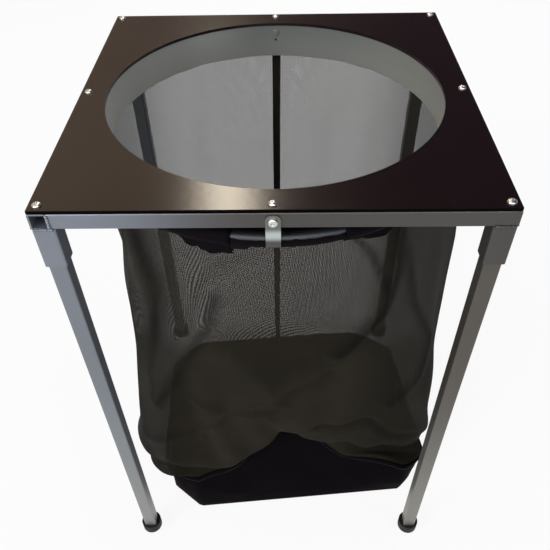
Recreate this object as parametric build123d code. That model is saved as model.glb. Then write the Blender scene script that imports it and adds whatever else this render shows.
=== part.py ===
from build123d import *
from math import asin, cos, degrees, radians, sin, sqrt
import os

# Square stand with a round collared opening and a mesh catch bag beneath it.
# Millimetres. +Z is up, -Y is the front, and the origin is on the floor under the
# middle of the plate.

# ---- driving dimensions -------------------------------------------------------
stand_height = 750.0        # floor to the plate's upper face

plate_side = 500.0
plate_thickness = 4.0
plate_edge_round = 1.0
plate_corner_round = 1.5
opening_margin = 35.0       # plate's edge to the opening at mid-side

rail_side = 20.0            # square tube of the frame
rail_wall = 2.0
tube_corner_round = 2.5

socket_side = 25.0          # square tube welded under each corner
socket_wall = 2.0
socket_length = 52.0

leg_side = 20.0
leg_wall = 1.5
leg_corner_round = 2.0

foot_radius = 17.0
foot_height = 22.0
foot_bottom_round = 5.0
foot_top_round = 1.0
foot_plug_length = 16.0
foot_plug_clearance = 0.2

collar_step = 1.5           # how far the collar stands back from the opening's edge
collar_thickness = 1.5
collar_depth = 51.5         # plate's upper face to the collar's lower edge
collar_bolt_head_radius = 4.6
collar_bolt_head_height = 1.6
collar_spare_hole_radius = 1.8
collar_spare_hole_drop = 26.0

screw_radius = 2.4          # plate screws, into the rails
screw_length = 10.0
screw_head_radius = 5.0
screw_head_height = 2.8
recess_length = 5.2
recess_width = 1.1
recess_depth = 1.4

bolt_radius = 3.0           # bolts through clip and rail; the rear one also holds the collar
bolt_drop = 15.0            # plate's upper face to the bolts
bolt_head_radius = 5.2
bolt_head_height = 3.4
bolt_tip = 1.5              # thread that stands out of the nut
nut_flats = 10.0
nut_thickness = 5.0
spacer_radius = 5.5
hole_clearance = 0.2        # round holes over their screw or bolt
seat_clearance = 0.1        # between a flat end and the curved collar or hoop

clip_width = 16.0
clip_thickness = 1.5
clip_top_drop = 6.5         # plate's upper face to the clip's upper ends
clip_arc_drop = 44.0        # plate's upper face to the middle of the clip's bend
clip_top_round = 6.5

hoop_tube_radius = 8.0
hoop_tube_wall = 1.5
hoop_joint_gap = 1.0        # between the hose's two ends
joiner_length = 60.0
joiner_clearance = 0.2

hem_thickness = 1.2
hem_clearance = 0.2
hem_gap_left = 45.0         # opening in the hem on each side of a clip
hem_gap_right = 75.0

bag_thickness = 1.5
bag_top_gap = 2.5           # bend of the clip to the upper edge of the mesh
bag_floor_clearance = 2.0
bag_floor_thickness = 2.0
base_width = 470.0
base_depth = 360.0
base_corner_cut = 50.0
base_turn = 5.5             # the hanging bag has turned a little on its hoop
base_centre = (18.0, -8.0)
belly_height = 160.0        # the slack mesh swells most here
belly_width = 516.0
belly_depth = 400.0
belly_corner_cut = 92.0
belly_turn = 4.0
belly_centre = (2.0, 2.0)
tray_wall_height = 50.0
front_peak_height = 150.0
front_peak_half_width = 150.0
front_peak_x = 20.0
corner_arc = 12.0           # degrees of hoop that one half of a corner cut takes

tape_width = 7.0
tape_thickness = 1.0
tape_clearance = 0.4

weld_width = 5.0
weld_rise = 1.0
weld_leg = 3.0

# ---- places that follow from them ---------------------------------------------
half_plate = plate_side / 2
opening_radius = half_plate - opening_margin
rail_top = stand_height - plate_thickness
rail_bottom = rail_top - rail_side
rail_centre_z = rail_top - rail_side / 2
rail_centre = half_plate - rail_side / 2
rail_inner_face = half_plate - rail_side
rail_length = plate_side - rail_side

leg_centre = half_plate - socket_side / 2
socket_bottom = rail_bottom - socket_length

collar_inner = opening_radius + collar_step
collar_outer = collar_inner + collar_thickness
collar_bottom = stand_height - collar_depth

bolt_z = stand_height - bolt_drop
clip_outer_face = half_plate + clip_thickness
clip_inner_face = rail_inner_face - clip_thickness
clip_bend_radius = rail_side / 2
clip_bend_z = stand_height - clip_arc_drop
clip_bottom = clip_bend_z - clip_bend_radius - clip_thickness

hoop_radius = rail_centre
hoop_z = clip_bend_z - clip_bend_radius + hoop_tube_radius + seat_clearance
hem_inner = hoop_tube_radius + hem_clearance
hem_outer = hem_inner + hem_thickness
bag_top = clip_bottom - bag_top_gap
bag_floor_top = bag_floor_clearance + bag_floor_thickness
tray_top = bag_floor_clearance + tray_wall_height

SIDES = ("front", "right", "rear", "left")
CORNERS = ("front_left", "front_right", "rear_right", "rear_left")


def turned(shape, quarter):
    """The shape of the front, turned about the stand's axis to another side."""
    return Rot(0, 0, 90 * quarter) * shape


def all_round(shape):
    """One copy of a shape for each side."""
    return [turned(shape, quarter) for quarter in range(4)]


def square_tube(side, wall, corner_round, length):
    """A square tube standing on the origin."""
    outer = RectangleRounded(side, side, corner_round)
    bore = side - 2 * wall
    inner = RectangleRounded(bore, bore, max(corner_round - wall, 0.2))
    return extrude(outer - inner, length)


def rod_to_centre(radius, start, length):
    """A round bar along +Y at bolt height, from y = -start inwards."""
    return Pos(0, -start, bolt_z) * Rot(-90, 0, 0) * Cylinder(
        radius, length, align=(Align.CENTER, Align.CENTER, Align.MIN))


def cross_recess(depth):
    """The cutter for a cross slot, with its upper face on the XY plane."""
    slot = Box(recess_length, recess_width, depth, align=(Align.CENTER, Align.CENTER, Align.MAX))
    return slot + Rot(0, 0, 90) * slot


def pan_head(radius, height):
    """A domed screw head, standing on the XY plane."""
    head = Cylinder(radius, height, align=(Align.CENTER, Align.CENTER, Align.MIN))
    head = fillet(head.edges().group_by(Axis.Z)[-1], height * 0.75)
    return head - Pos(0, 0, height) * cross_recess(recess_depth)


# ---- plate and frame ----------------------------------------------------------
def screw_places():
    """The middle and the right-hand corner of each side: eight screws in all."""
    front = [(0, -rail_centre), (rail_centre, -rail_centre)]
    return [turned(Pos(x, y, 0), quarter) for quarter in range(4) for x, y in front]


def top_plate():
    plate = extrude(RectangleRounded(plate_side, plate_side, plate_corner_round), plate_thickness)
    plate = Pos(0, 0, rail_top) * plate
    plate = fillet(plate.edges().group_by(Axis.Z)[-1], plate_edge_round)
    plate -= Pos(0, 0, rail_top) * Cylinder(opening_radius, 3 * plate_thickness)
    for place in screw_places():
        plate -= place * Pos(0, 0, rail_top) * Cylinder(
            screw_radius + hole_clearance, 3 * plate_thickness)
    return plate


def plate_screws():
    shank = Cylinder(screw_radius, screw_length, align=(Align.CENTER, Align.CENTER, Align.MAX))
    screw = Pos(0, 0, stand_height) * (pan_head(screw_head_radius, screw_head_height) + shank)
    return [place * screw for place in screw_places()]


def front_rail():
    """Butts on the left rail and runs to the right-hand corner, with open ends."""
    tube = square_tube(rail_side, rail_wall, tube_corner_round, rail_length)
    rail = Pos(-rail_inner_face, -rail_centre, rail_centre_z) * Rot(0, 90, 0) * tube
    for x in (0, rail_centre):
        rail -= Pos(x, -rail_centre, rail_top) * Cylinder(screw_radius + hole_clearance, 3 * rail_wall)
    return rail - rod_to_centre(bolt_radius + hole_clearance, clip_outer_face, 2 * rail_side)


def socket():
    tube = square_tube(socket_side, socket_wall, tube_corner_round, socket_length)
    return Pos(-leg_centre, -leg_centre, socket_bottom) * tube


def weld_cap(length):
    """A low bead along X on the XZ plane, standing out towards -Y."""
    chord = Line((-weld_width / 2, 0), (weld_width / 2, 0))
    crown = ThreePointArc((-weld_width / 2, 0), (0, weld_rise), (weld_width / 2, 0))
    section = make_face(Curve() + [chord, crown])
    bead = extrude(Plane.YZ * Rot(0, 0, 90) * section, length / 2, both=True)
    return bead


def weld_fillet(length):
    """A three-cornered bead along +Z, in the angle between +X and +Y."""
    return extrude(Polygon((0, 0), (weld_leg, 0), (0, weld_leg), align=None), length)


def corner_welds():
    """Beads at the front-left corner: rail to rail, and socket to rails."""
    run = socket_side - 2 * tube_corner_round
    seam_height = rail_side - weld_width / 2 - 2 * tube_corner_round
    seam_z = rail_top - tube_corner_round - seam_height / 2
    upright = Pos(-rail_inner_face, -half_plate, seam_z) * Rot(0, 90, 0) * weld_cap(seam_height)
    on_front = Pos(-leg_centre, -half_plate, rail_bottom) * weld_cap(run)
    on_left = Pos(-half_plate, -leg_centre, rail_bottom) * Rot(0, 0, -90) * weld_cap(run)
    inside = Pos(-rail_inner_face, -rail_inner_face, rail_bottom + 2 * weld_leg)
    inside *= weld_fillet(rail_side - 4 * weld_leg)
    return [upright, on_front, on_left, inside]


# ---- legs and feet ------------------------------------------------------------
def leg():
    tube = square_tube(leg_side, leg_wall, leg_corner_round, rail_bottom - foot_height)
    return Pos(-leg_centre, -leg_centre, foot_height) * tube


def foot():
    """A round rubber foot with a square plug that fills the leg's end."""
    disc = Cylinder(foot_radius, foot_height, align=(Align.CENTER, Align.CENTER, Align.MIN))
    disc = fillet(disc.edges().group_by(Axis.Z)[0], foot_bottom_round)
    disc = fillet(disc.edges().group_by(Axis.Z)[-1], foot_top_round)
    plug_side = leg_side - 2 * leg_wall - 2 * foot_plug_clearance
    plug = extrude(RectangleRounded(plug_side, plug_side, leg_corner_round), foot_plug_length)
    return Pos(-leg_centre, -leg_centre, 0) * (disc + Pos(0, 0, foot_height) * plug)


# ---- collar and bolts ---------------------------------------------------------
def collar_ring():
    height = rail_top - collar_bottom
    ring = extrude(Circle(collar_outer) - Circle(collar_inner), height)
    ring = Pos(0, 0, collar_bottom) * ring
    ring -= turned(rod_to_centre(bolt_radius + hole_clearance, half_plate, half_plate / 2), 2)
    spare = Pos(0, collar_inner, stand_height - collar_spare_hole_drop) * Rot(90, 0, 0)
    return ring - spare * Cylinder(collar_spare_hole_radius, 8 * collar_thickness)


def collar_spacer():
    """A tube between a clip's inner end and the collar."""
    length = clip_inner_face - collar_outer
    tube = rod_to_centre(spacer_radius, clip_inner_face, length)
    return tube - rod_to_centre(bolt_radius + hole_clearance, half_plate, half_plate / 2)


def collar_bolt():
    """A bolt from inside the collar through spacer, clip and rail, under a low head."""
    start = clip_outer_face + nut_thickness + bolt_tip
    head_face = collar_inner - seat_clearance
    shank = rod_to_centre(bolt_radius, start, start - head_face)
    head = Cylinder(collar_bolt_head_radius, collar_bolt_head_height,
                    align=(Align.CENTER, Align.CENTER, Align.MIN))
    head = fillet(head.edges().group_by(Axis.Z)[-1], collar_bolt_head_height * 0.6)
    return shank + Pos(0, -head_face, bolt_z) * Rot(-90, 0, 0) * head


def clip_bolt():
    """A bolt through a clip and its rail, with its head outside."""
    length = clip_outer_face - clip_inner_face + nut_thickness + bolt_tip
    shank = rod_to_centre(bolt_radius, clip_outer_face, length)
    head = Pos(0, -clip_outer_face, bolt_z) * Rot(90, 0, 0) * pan_head(
        bolt_head_radius, bolt_head_height)
    return shank + head


def bolt_nut(face):
    """A hexagon nut that reaches inwards from the plane y = -face."""
    outline = RegularPolygon(nut_flats / sqrt(3), 6)
    nut = Pos(0, -face, bolt_z) * Rot(-90, 0, 0) * extrude(outline, nut_thickness)
    bore = rod_to_centre(bolt_radius + hole_clearance / 2, face + nut_thickness, 3 * nut_thickness)
    return nut - bore


def hoop_clip():
    """A strap bent round the hoop, with both ends bolted to the rail."""
    top = stand_height - clip_top_drop
    outer_radius = clip_bend_radius + clip_thickness
    leg_height = top - clip_bend_z

    def slug(radius):
        upright = Pos(0, leg_height / 2) * Rectangle(2 * radius, leg_height)
        return upright + Circle(radius)

    section = Plane.YZ * (slug(outer_radius) - slug(clip_bend_radius))
    strap = extrude(section, clip_width / 2, both=True)
    ends = strap.edges().filter_by(Axis.Y).group_by(Axis.Z)[-1]
    strap = Pos(0, -rail_centre, clip_bend_z) * fillet(ends, clip_top_round)
    return strap - rod_to_centre(bolt_radius + hole_clearance, clip_outer_face + 1, 2 * rail_side)


# ---- hoop and bag -------------------------------------------------------------
def ring_section(outer, inner):
    """A round tube's section in the XZ plane, where the hoop crosses it."""
    return Plane.XZ * (Pos(hoop_radius, hoop_z) * (Circle(outer) - Circle(inner)))


def bag_hoop():
    """A length of hose bent to a ring, its ends meeting at the rear."""
    gap = degrees(hoop_joint_gap / hoop_radius)
    section = ring_section(hoop_tube_radius, hoop_tube_radius - hoop_tube_wall)
    return Rot(0, 0, 60 + gap / 2) * revolve(section, Axis.Z, 360 - gap)


def hoop_joiner():
    """The plug inside the hose that holds its two ends together."""
    radius = hoop_tube_radius - hoop_tube_wall - joiner_clearance
    arc = degrees(joiner_length / hoop_radius)
    section = Plane.XZ * (Pos(hoop_radius, hoop_z) * Circle(radius))
    return Rot(0, 0, 60 - arc / 2) * revolve(section, Axis.Z, arc)


def bag_hem():
    """A sleeve round the hoop from the front gap to the right one."""
    start = -90 + degrees(asin(hem_gap_right / hoop_radius))
    end = -degrees(asin(hem_gap_left / hoop_radius))
    sleeve = revolve(ring_section(hem_outer, hem_inner), Axis.Z, end - start)
    skirt_height = hoop_z - hem_inner - bag_top
    skirt_section = Pos(hoop_radius - bag_thickness / 2, bag_top + skirt_height / 2) * Rectangle(
        bag_thickness, skirt_height)
    skirt = revolve(Plane.XZ * skirt_section, Axis.Z, end - start)
    core = revolve(Plane.XZ * (Pos(hoop_radius, hoop_z) * Circle(hem_inner)), Axis.Z, end - start)
    return Rot(0, 0, start) * (sleeve + (skirt - core))


def outline_points(quarter, inset, width, depth, corner_cut, turn, centre, height):
    """Four points of an eight-sided outline that lie on one side of the bag."""
    half = [width / 2 - inset, depth / 2 - inset]
    cut = corner_cut - inset * (2 - sqrt(2))
    along, out = (half[0], half[1]) if quarter % 2 == 0 else (half[1], half[0])
    mid = cut / 2
    points = [(-along + mid, -out + mid), (-along + cut, -out)]
    points += [(along - cut, -out), (along - mid, -out + mid)]
    place = Pos(*centre, 0) * Rot(0, 0, turn + 90 * quarter)
    return [(place * Pos(x, y, height)).position for x, y in points]


def base_points(quarter, inset):
    return outline_points(quarter, inset, base_width, base_depth, base_corner_cut,
                          base_turn, base_centre, bag_floor_top)


def belly_points(quarter, inset):
    return outline_points(quarter, inset, belly_width, belly_depth, belly_corner_cut,
                          belly_turn, belly_centre, belly_height)


def hoop_points(quarter, inset):
    """Points on the hoop's circle above the base points, with the arcs' middles."""
    angles = [-135, -135 + corner_arc, -45 - corner_arc, -45]
    radius = hoop_radius - inset

    def at(angle):
        turn = radians(angle + 90 * quarter)
        return Vector(radius * cos(turn), radius * sin(turn), bag_top)

    middles = [(first + last) / 2 for first, last in zip(angles, angles[1:])]
    return [at(angle) for angle in angles], [at(angle) for angle in middles]


def wall_outline(outer, inner):
    """The section of one side's wall where its edges are straight."""
    edges = [Line(a, b) for a, b in zip(outer, outer[1:])]
    edges += [Line(outer[-1], inner[-1])]
    edges += [Line(a, b) for a, b in zip(inner[::-1], inner[::-1][1:])]
    edges += [Line(inner[0], outer[0])]
    return Wire(edges)


def bag_side(quarter):
    """One whole side of the bag, from the hoop's circle over the belly to the base outline."""
    foot = wall_outline(base_points(quarter, 0), base_points(quarter, bag_thickness))
    belly = wall_outline(belly_points(quarter, 0), belly_points(quarter, bag_thickness))

    (outer, outer_mid), (inner, inner_mid) = hoop_points(quarter, 0), hoop_points(quarter, bag_thickness)
    head_edges = [ThreePointArc(a, m, b) for a, m, b in zip(outer, outer_mid, outer[1:])]
    head_edges += [Line(outer[-1], inner[-1])]
    back, back_mid = inner[::-1], inner_mid[::-1]
    head_edges += [ThreePointArc(a, m, b) for a, m, b in zip(back, back_mid, back[1:])]
    head_edges += [Line(inner[0], outer[0])]
    return Solid.make_loft([foot, belly, Wire(head_edges)], ruled=True)


def tray_zone(quarter):
    """The space that the solid fabric takes: a low band, with a peak at the front."""
    band = Box(2 * plate_side, 2 * plate_side, tray_top, align=(Align.CENTER, Align.CENTER, Align.MIN))
    if quarter != 0:
        return band
    rise = front_peak_height - tray_wall_height
    outline = [Line((-front_peak_half_width, 0), (front_peak_half_width, 0))]
    for side in (-1, 1):
        middle = (side * front_peak_half_width / 2, rise / 2)
        outline += [TangentArc((side * front_peak_half_width, 0), middle, tangent=(-side, 0))]
        outline += [TangentArc((0, rise), middle, tangent=(side, 0))]
    hill = extrude(Plane.XZ * make_face(Curve() + outline), plate_side, both=True)
    return band + Pos(front_peak_x, 0, tray_top) * hill


def bag_mesh(quarter):
    return bag_side(quarter) - tray_zone(quarter)


def bag_base():
    """The solid fabric tray: floor and walls in one piece."""
    corners = []
    for quarter in range(4):
        corners += base_points(quarter, 0)[1:3]
    outline = Polyline(*corners, close=True)
    tray = extrude(make_face(outline), -bag_floor_thickness, dir=(0, 0, 1))
    for quarter in range(4):
        tray += bag_side(quarter) & tray_zone(quarter)
    return tray


def rear_seam_tape():
    """A strip sewn down the middle of the rear mesh, from hem to tray."""
    lean = tape_clearance + tape_thickness / 2
    strip = Rectangle(tape_width, tape_thickness)
    middles = [(points[1] + points[2]) / 2 for points in (base_points(2, 0), belly_points(2, 0))]
    middles.append(Vector(0, hoop_radius, bag_top))
    sections = [Pos(*middle) * Rot(0, 0, belly_turn) * Pos(0, lean) * strip for middle in middles]
    return loft(sections, ruled=True) - tray_zone(2)


# ---- the assembly -------------------------------------------------------------
def whole_stand():
    nodes = {"top_plate": top_plate(), "plate_screws": plate_screws()}
    for quarter, side in enumerate(SIDES):
        nodes[side + "_rail"] = turned(front_rail(), quarter)
        nodes[side + "_hoop_clip"] = turned(hoop_clip(), quarter)
        nodes[side + "_mesh"] = bag_mesh(quarter)
    for quarter, corner in enumerate(CORNERS):
        nodes[corner + "_socket"] = turned(socket(), quarter)
        nodes[corner + "_leg"] = turned(leg(), quarter)
        nodes[corner + "_foot"] = turned(foot(), quarter)
    nodes["corner_welds"] = [turned(weld, q) for q in range(4) for weld in corner_welds()]
    nodes["collar_ring"] = collar_ring()
    nodes["collar_spacer"] = turned(collar_spacer(), 2)
    nodes["collar_bolt"] = turned(collar_bolt(), 2)
    nodes["collar_nut"] = turned(bolt_nut(clip_outer_face + nut_thickness), 2)
    nodes["clip_bolts"] = [turned(clip_bolt(), quarter) for quarter in (0, 1, 3)]
    nodes["clip_nuts"] = [turned(bolt_nut(clip_inner_face), quarter) for quarter in (0, 1, 3)]
    nodes["bag_hoop"] = bag_hoop()
    nodes["hoop_joiner"] = hoop_joiner()
    nodes["bag_hem"] = all_round(bag_hem())
    nodes["bag_base"] = bag_base()
    nodes["rear_seam_tape"] = rear_seam_tape()
    return nodes


os.makedirs("parts", exist_ok=True)
for name, shape in whole_stand().items():
    pieces = shape if isinstance(shape, list) else [shape]
    solids = [solid for piece in pieces for solid in piece.solids()]
    export_step(Compound(children=solids) if len(solids) > 1 else solids[0], f"parts/{name}.step")
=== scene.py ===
import math

import bpy
import bmesh
import numpy as np
from mathutils import Matrix, Vector, noise


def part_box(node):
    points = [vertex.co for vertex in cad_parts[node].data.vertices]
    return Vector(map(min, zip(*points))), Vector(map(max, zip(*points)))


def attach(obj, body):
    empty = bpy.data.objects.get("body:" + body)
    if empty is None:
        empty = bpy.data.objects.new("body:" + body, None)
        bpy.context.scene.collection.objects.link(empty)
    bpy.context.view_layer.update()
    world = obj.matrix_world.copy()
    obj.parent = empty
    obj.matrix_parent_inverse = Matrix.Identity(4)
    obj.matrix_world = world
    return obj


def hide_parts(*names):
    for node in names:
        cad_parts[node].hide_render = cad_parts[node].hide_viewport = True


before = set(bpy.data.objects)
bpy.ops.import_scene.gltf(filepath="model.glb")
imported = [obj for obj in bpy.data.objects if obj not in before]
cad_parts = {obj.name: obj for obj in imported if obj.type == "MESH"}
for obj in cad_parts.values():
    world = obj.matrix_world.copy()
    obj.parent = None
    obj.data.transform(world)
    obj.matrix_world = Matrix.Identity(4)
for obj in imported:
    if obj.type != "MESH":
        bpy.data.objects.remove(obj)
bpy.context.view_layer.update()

# ---- sizes, in metres ---------------------------------------------------------
STAND = "frame"
SIDES = ("front", "right", "rear", "left")
CORNERS = ("front_left", "front_right", "rear_right", "rear_left")

plate_low, plate_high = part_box("top_plate")
hoop_low, hoop_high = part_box("bag_hoop")
hose_radius = (hoop_high.z - hoop_low.z) / 2
hoop_radius = hoop_high.x - hose_radius
hoop_height = (hoop_high.z + hoop_low.z) / 2


# ---- shader maths -------------------------------------------------------------
class Value:
    """A shader output whose operators add Math nodes behind it."""

    def __init__(self, finish, socket):
        self.finish, self.socket = finish, socket

    def maths(self, operation, *terms):
        node = self.finish.node("ShaderNodeMath", {"operation": operation}, dict(enumerate(terms)))
        return Value(self.finish, node.outputs[0])

    def __add__(self, other): return self.maths("ADD", self, other)
    def __radd__(self, other): return self.maths("ADD", other, self)
    def __sub__(self, other): return self.maths("SUBTRACT", self, other)
    def __rsub__(self, other): return self.maths("SUBTRACT", other, self)
    def __mul__(self, other): return self.maths("MULTIPLY", self, other)
    def __rmul__(self, other): return self.maths("MULTIPLY", other, self)
    def __truediv__(self, other): return self.maths("DIVIDE", self, other)
    def __rtruediv__(self, other): return self.maths("DIVIDE", other, self)
    def __pow__(self, other): return self.maths("POWER", self, other)

    def sine(self): return self.maths("SINE", self)
    def size(self): return self.maths("ABSOLUTE", self)
    def least(self, other): return self.maths("MINIMUM", self, other)
    def most(self, other): return self.maths("MAXIMUM", self, other)
    def wrapped(self, step): return self.maths("PINGPONG", self, step)

    def step(self, low, high):
        """0 below low and 1 above high, with a smooth rise between them."""
        node = self.finish.node("ShaderNodeMapRange", {"interpolation_type": "SMOOTHSTEP"},
                                {"Value": self, "From Min": low, "From Max": high})
        return Value(self.finish, node.outputs[0])


class Finish:
    """One material: a Principled shader and the nodes that feed it."""

    def __init__(self, name):
        self.material = bpy.data.materials.new(name)
        self.material.use_nodes = True
        self.tree = self.material.node_tree
        self.tree.nodes.clear()

    def node(self, kind, settings=None, inputs=None):
        made = self.tree.nodes.new(kind)
        for key, setting in (settings or {}).items():
            if key == "stops":
                ramp = made.color_ramp.elements
                while len(ramp) < len(setting):
                    ramp.new(0.5)
                for element, (place, colour) in zip(ramp, setting):
                    element.position, element.color = place, (*colour, 1)
            else:
                setattr(made, key, setting)
        for key, given in (inputs or {}).items():
            if isinstance(given, Value):
                self.tree.links.new(given.socket, made.inputs[key])
            elif given is not None:
                made.inputs[key].default_value = given
        return made

    def out(self, node, name=0):
        return Value(self, node.outputs[name])

    def place(self, scale=(1, 1, 1), shift=(0, 0, 0), turn=(0, 0, 0)):
        """Object coordinates in metres, shifted, turned and stretched."""
        coords = self.out(self.node("ShaderNodeTexCoord"), "Object")
        return self.out(self.node("ShaderNodeMapping", None, {
            "Vector": coords, "Location": shift, "Rotation": turn, "Scale": scale}))

    def cloth_place(self):
        """The piece's own flat coordinates, in metres of cloth."""
        return self.out(self.node("ShaderNodeUVMap", {"uv_map": "cloth"}))

    def split(self, vector):
        node = self.node("ShaderNodeSeparateXYZ", None, {0: vector})
        return [self.out(node, i) for i in range(3)]

    def clouds(self, where, scale, detail=3.0, roughness=0.5):
        return self.out(self.node("ShaderNodeTexNoise", None, {
            "Vector": where, "Scale": scale, "Detail": detail, "Roughness": roughness}), "Fac")

    def cells(self, where, scale, feature="F1", output="Distance"):
        return self.out(self.node("ShaderNodeTexVoronoi", {"feature": feature}, {
            "Vector": where, "Scale": scale}), output)

    def kept(self, name, output="Fac"):
        """A number or colour that is stored on the piece's own mesh."""
        return self.out(self.node("ShaderNodeAttribute", {"attribute_name": name}), output)

    def colour(self, share, first, second):
        """A colour between two colours, or between a colour and an earlier mix."""
        first, second = [(*c, 1) if isinstance(c, tuple) else c for c in (first, second)]
        return self.out(self.node("ShaderNodeMix", {"data_type": "RGBA"}, {0: share, 6: first, 7: second}), 2)

    def ramp(self, share, stops):
        return self.out(self.node("ShaderNodeValToRGB", {"stops": stops}, {0: share}))

    def bump(self, height, strength, distance, under=None):
        return self.out(self.node("ShaderNodeBump", None, {
            "Height": height, "Strength": strength, "Distance": distance, "Normal": under}))

    def done(self, **sockets):
        """Sets the Principled shader's sockets and closes the material."""
        inputs = {key.replace("_", " "): (*v, 1) if isinstance(v, tuple) else v for key, v in sockets.items()}
        shader = self.node("ShaderNodeBsdfPrincipled", None, inputs)
        self.node("ShaderNodeOutputMaterial", None, {0: self.out(shader)})
        return self.material


def tint(red, green, blue):
    """A colour as painters mix it on screen, 0 to 255, made linear."""
    return tuple((c / 255 / 12.92) if c < 10.3 else ((c / 255 + 0.055) / 1.055) ** 2.4 for c in (red, green, blue))


# ---- finishes of the metalwork -------------------------------------------------
def plate_gloss():
    """Brown-black stoved enamel with a faint orange peel and a few fine scuffs, and painted shade on its edge faces."""
    f = Finish("plate_gloss")
    where = f.place()
    peel = f.clouds(where, 95.0, 2.0)
    cloud = f.clouds(where, 4.0, 4.0)
    scuffs = f.clouds(f.place(scale=(9.0, 140.0, 1.0), turn=(0, 0, 0.5)), 1.6, 2.0).step(0.66, 0.72)
    dust = f.cells(where, 210.0).step(0.10, 0.03) * f.clouds(where, 13.0).step(0.5, 0.7)
    body = f.colour(cloud, tint(20, 11, 13), tint(28, 18, 19))
    body = f.colour(dust * 0.35, body, tint(120, 112, 104))
    x, y, _ = f.split(where)
    # painted shade: the plate's edge faces are made dark and fully metallic, so they reflect almost no light
    cut = x.size().most(y.size()).step(0.2494, 0.2497)
    body = f.colour(cut, body, tint(10, 7, 7))
    return f.done(Base_Color=body, Metallic=cut, Roughness=0.13 + cloud * 0.06 + scuffs * 0.05 + dust * 0.3,
                  Specular_IOR_Level=0.42,
                  Normal=f.bump(peel, 0.10, 0.0004, f.bump(scuffs, 0.04, 0.0002)))


def silver_paint(name, lit, shaded, lift):
    """Satin silver enamel on steel tube, with painted light and shade: lit is its tone on the left, shaded its tone on
    the right, and lift is how much paler a painted reflection of the floor makes it near the floor.
    """
    f = Finish(name)
    where = f.place()
    x, y, z = f.split(where)
    cloud = f.clouds(where, 7.0, 4.0)
    grit = f.clouds(where, 900.0, 1.0)
    runs = f.clouds(f.place(scale=(60.0, 60.0, 3.0)), 1.0, 3.0)
    # painted reflection of the floor: paler towards the floor, by lift
    low = (0.50 - z).step(0.0, 0.5) * lift
    # painted light and shade: the lit tone on the left, the shaded tone towards the right
    side = (x + 0.21).step(0.0, 0.20)
    paint = f.colour(side, lit, shaded)
    paint = f.colour(cloud.step(0.35, 0.8) * 0.2, paint, tint(98, 98, 99))
    paint = f.colour(low, paint, tint(158, 157, 148))
    return f.done(Base_Color=paint, Metallic=0.55, Roughness=0.36 + cloud * 0.10 + grit * 0.05,
                  Normal=f.bump(grit, 0.16, 0.0002, f.bump(runs, 0.10, 0.0006)))


def collar_sheet(middle):
    """Plain satin sheet with rolling lines round the ring, painted light that makes it paler on the left and the right,
    and dark painted shade on the outer face beyond the sheet's middle.
    """
    f = Finish("collar_sheet")
    where = f.place()
    x, y, z = f.split(where)
    grain = f.clouds(f.place(scale=(3.0, 3.0, 420.0)), 1.0, 3.0)
    bloom = f.clouds(where, 14.0, 4.0)
    low = (0.745 - z).step(0.0, 0.045)
    # painted shade: the outer face, beyond the middle, made dark and not metallic
    outer = (x * x + y * y).step(middle ** 2 - 0.00005, middle ** 2 + 0.00005)
    # painted light: paler on the left, and somewhat paler on the right, than at the rear
    metal = f.colour((0.0 - x).step(0.02, 0.13), tint(112, 115, 112), tint(174, 176, 172))
    metal = f.colour(x.step(0.08, 0.20), metal, tint(140, 139, 131))
    metal = f.colour(bloom * 0.4, metal, tint(134, 134, 130))
    metal = f.colour(low * 0.3, metal, tint(166, 164, 156))
    metal = f.colour(outer, metal, tint(24, 19, 20))
    return f.done(Base_Color=metal, Metallic=0.3 * (1 - outer), Roughness=0.40 + grain * 0.16, Specular_IOR_Level=0.3,
                  Normal=f.bump(grain, 0.12, 0.0003))


def zinc_plate():
    f = Finish("zinc_plate")
    where = f.place()
    bloom = f.clouds(where, 120.0, 4.0)
    turned = f.clouds(where, 1500.0, 1.0)
    metal = f.colour(bloom, tint(178, 181, 182), tint(226, 226, 221))
    return f.done(Base_Color=metal, Metallic=0.92, Roughness=0.2 + bloom * 0.16,
                  Normal=f.bump(turned, 0.12, 0.0001))


def zinc_strap(low, high):
    """Zinc plate on a strap, with a painted highlight where it bends round the hose and painted shade below the bend.
    """
    f = Finish("zinc_strap")
    where = f.place()
    x, y, z = f.split(where)
    bloom = f.clouds(where, 120.0, 4.0)
    brushed = f.clouds(f.place(scale=(900.0, 900.0, 40.0)), 1.0, 2.0)
    fallen = (high - z) * (1.0 / (high - low))
    # painted highlight where the strap bends over the hose
    painted_bend_highlight = fallen.step(0.34, 0.50) * (1.0 - fallen.step(0.55, 0.73))
    # painted shade: darker below the bend
    metal = f.colour(fallen.step(0.55, 0.75), tint(108, 108, 102), tint(72, 72, 70))
    metal = f.colour(painted_bend_highlight, metal, tint(184, 194, 195))
    metal = f.colour(bloom * 0.1, metal, tint(200, 200, 196))
    return f.done(Base_Color=metal, Metallic=0.9, Roughness=0.26 + bloom * 0.16,
                  Normal=f.bump(brushed, 0.10, 0.0001))


def black_rubber():
    f = Finish("black_rubber")
    where = f.place()
    x, y, z = f.split(where)
    cloud = f.clouds(where, 60.0, 4.0)
    grain = f.clouds(where, 1400.0, 2.0)
    dust = (0.012 - z).step(0.0, 0.012) * cloud.step(0.35, 0.7)
    rubber = f.colour(dust * 0.5, tint(22, 22, 24), tint(66, 63, 58))
    return f.done(Base_Color=rubber, Roughness=0.5 + cloud * 0.22, Specular_IOR_Level=0.25,
                  Normal=f.bump(grain, 0.3, 0.0002))


def black_hose():
    f = Finish("black_hose")
    where = f.place()
    cloud = f.clouds(where, 24.0, 3.0)
    wipe = f.clouds(f.place(scale=(6.0, 6.0, 160.0)), 1.4, 2.0)
    plastic = f.colour(cloud, tint(16, 16, 19), tint(26, 27, 31))
    return f.done(Base_Color=plastic, Roughness=0.36 + wipe * 0.16, Specular_IOR_Level=0.45,
                  Normal=f.bump(wipe, 0.08, 0.0003))


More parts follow.
